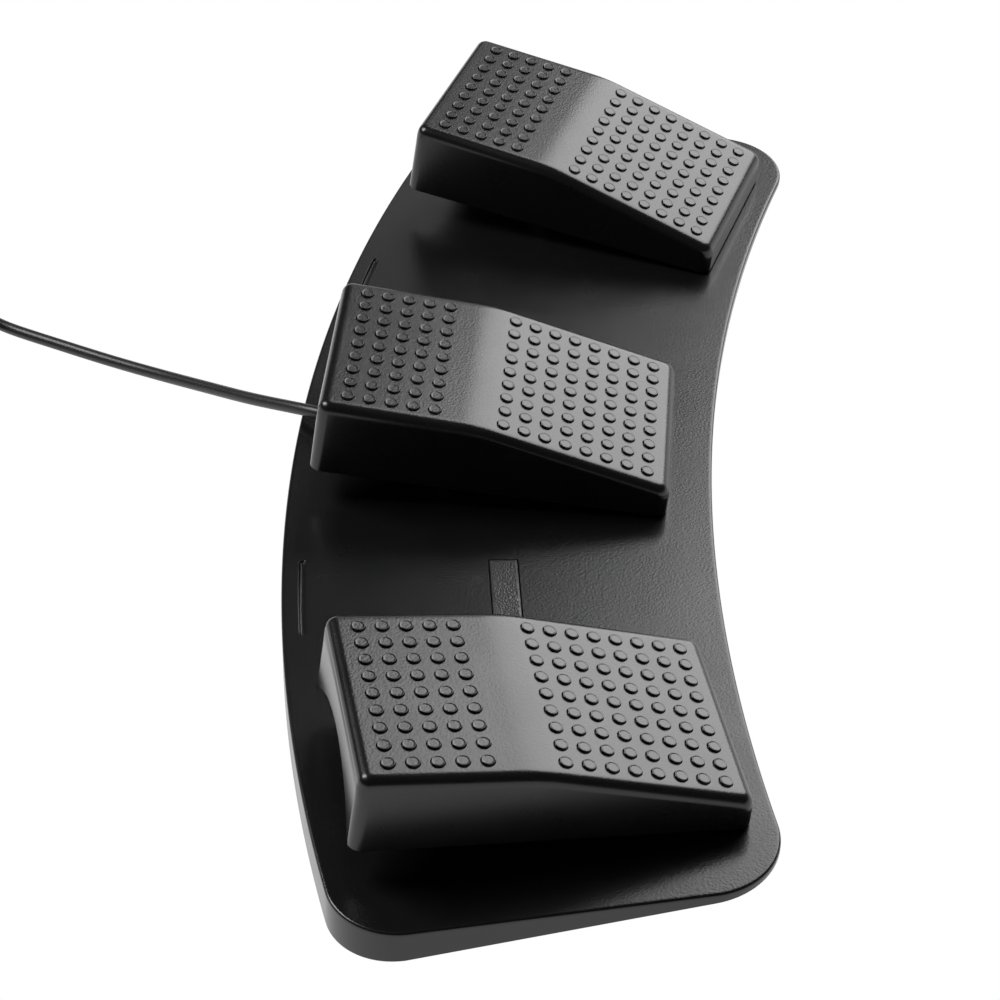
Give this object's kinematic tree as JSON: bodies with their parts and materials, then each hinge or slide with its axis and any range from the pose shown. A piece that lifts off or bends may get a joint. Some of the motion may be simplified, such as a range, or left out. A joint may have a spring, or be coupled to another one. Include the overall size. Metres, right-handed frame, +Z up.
{
  "type": "usb foot pedal switch",
  "caption": "Curved wedge base with a fan of studded, spring-returned foot pedals, each working a lever switch, with a USB cable leaving the rear.",
  "frame": {"origin": "on the floor under the middle of the base's box, cable left out", "axes": "+Z up, +X towards the user, +Y towards the user's right-hand pedal, along the base's length"},
  "size_m": [0.2543, 0.3124, 0.0389],
  "materials": {
    "base_plastic": "fine-grained black moulded plastic",
    "pedal_plastic": "satin black moulded plastic",
    "plate_plastic": "plain black moulded plastic",
    "strip_plastic": "grainy dark film",
    "foot_rubber": "matte",
    "dark_steel": "blackened",
    "bright_steel": "bright",
    "board_green": "solder mask",
    "chip_black": "moulded",
    "cable_jacket": "smooth",
    "wire_red": "smooth",
    "wire_grey": "smooth",
    "tie_plastic": "smooth",
    "plug_plastic": "smooth",
    "plug_shell": "plated",
    "insert_white": "smooth",
    "contact_brass": "plated",
    "switch_black": "smooth",
    "plunger_red": "smooth"
  },
  "bodies": {
    "base": {"base_shell": "base_plastic", "bottom_plate": "plate_plastic", "rubber_feet": "foot_rubber", "bottom_screws": "dark_steel", "deck_strip": "strip_plastic", "controller_board": "board_green", "controller_chip": "chip_black", "crystal_can": "bright_steel", "board_screws": "bright_steel", "cable_grommet": "cable_jacket", "cable_tail": "cable_jacket", "cable_conductors": "wire_red", "usb_cable": "cable_jacket", "usb_cable_coil": "cable_jacket", "cable_tie": "tie_plastic", "usb_plug_grip": "plug_plastic", "usb_plug_shell": "plug_shell", "usb_plug_insert": "insert_white", "usb_plug_contacts": "contact_brass", "hinge_pin_left": "bright_steel", "return_spring_left": "bright_steel", "switch_case_left": "switch_black", "switch_terminals_left": "contact_brass", "switch_screws_left": "bright_steel", "switch_leads_left": "wire_grey", "hinge_pin_centre": "bright_steel", "return_spring_centre": "bright_steel", "switch_case_centre": "switch_black", "switch_terminals_centre": "contact_brass", "switch_screws_centre": "bright_steel", "switch_leads_centre": "wire_grey", "hinge_pin_right": "bright_steel", "return_spring_right": "bright_steel", "switch_case_right": "switch_black", "switch_terminals_right": "contact_brass", "switch_screws_right": "bright_steel", "switch_leads_right": "wire_grey"},
    "left_pedal": {"pedal_left": "pedal_plastic"},
    "left_switch_lever": {"switch_lever_left": "bright_steel"},
    "left_switch_plunger": {"switch_plunger_left": "plunger_red"},
    "centre_pedal": {"pedal_centre": "pedal_plastic"},
    "centre_switch_lever": {"switch_lever_centre": "bright_steel"},
    "centre_switch_plunger": {"switch_plunger_centre": "plunger_red"},
    "right_pedal": {"pedal_right": "pedal_plastic"},
    "right_switch_lever": {"switch_lever_right": "bright_steel"},
    "right_switch_plunger": {"switch_plunger_right": "plunger_red"}
  },
  "joints": [
    {"name": "left_pedal_press", "type": "hinge", "parent": "base", "child": "left_pedal", "pos_m": [0.03818, -0.09945, 0.00957], "axis": [0.2562, -0.9664, -0.0224], "range_deg": [0, 5.4], "stiffness_Nm_per_rad": 3.1, "springref_deg": -5.16, "deforming": ["return_spring_left"]},
    {"name": "left_lever_turn", "type": "hinge", "parent": "base", "child": "left_switch_lever", "pos_m": [0.00007, -0.09736, 0.01953], "axis": [0.2562, -0.9664, -0.0224], "range_deg": [0, 18.92]},
    {"name": "left_plunger_slide", "type": "slide", "parent": "base", "child": "left_switch_plunger", "axis": [-0.0872, 0, -0.9962], "range_m": [0, 0.00103]},
    {"name": "centre_pedal_press", "type": "hinge", "parent": "base", "child": "centre_pedal", "pos_m": [0.02394, 0, 0.01082], "axis": [0, -1, 0], "range_deg": [0, 5.4], "stiffness_Nm_per_rad": 3.1, "springref_deg": -5.16, "deforming": ["return_spring_centre"]},
    {"name": "centre_lever_turn", "type": "hinge", "parent": "base", "child": "centre_switch_lever", "pos_m": [-0.01233, 0.012, 0.02062], "axis": [0, -1, 0], "range_deg": [0, 18.92]},
    {"name": "centre_plunger_slide", "type": "slide", "parent": "base", "child": "centre_switch_plunger", "axis": [-0.0872, 0, -0.9962], "range_m": [0, 0.00103]},
    {"name": "right_pedal_press", "type": "hinge", "parent": "base", "child": "right_pedal", "pos_m": [0.03818, 0.09945, 0.00957], "axis": [-0.2562, -0.9664, 0.0224], "range_deg": [0, 5.4], "stiffness_Nm_per_rad": 3.1, "springref_deg": -5.16, "deforming": ["return_spring_right"]},
    {"name": "right_lever_turn", "type": "hinge", "parent": "base", "child": "right_switch_lever", "pos_m": [0.00622, 0.12055, 0.01899], "axis": [-0.2562, -0.9664, 0.0224], "range_deg": [0, 18.92]},
    {"name": "right_plunger_slide", "type": "slide", "parent": "base", "child": "right_switch_plunger", "axis": [-0.0872, 0, -0.9962], "range_m": [0, 0.00103]}
  ],
  "couplings": [
    {"joint": "left_lever_turn", "follows": "left_pedal_press", "ratio": 3.5},
    {"joint": "left_plunger_slide", "follows": "left_pedal_press", "m_per_rad": 0.0109},
    {"joint": "centre_lever_turn", "follows": "centre_pedal_press", "ratio": 3.5},
    {"joint": "centre_plunger_slide", "follows": "centre_pedal_press", "m_per_rad": 0.0109},
    {"joint": "right_lever_turn", "follows": "right_pedal_press", "ratio": 3.5},
    {"joint": "right_plunger_slide", "follows": "right_pedal_press", "m_per_rad": 0.0109}
  ]
}
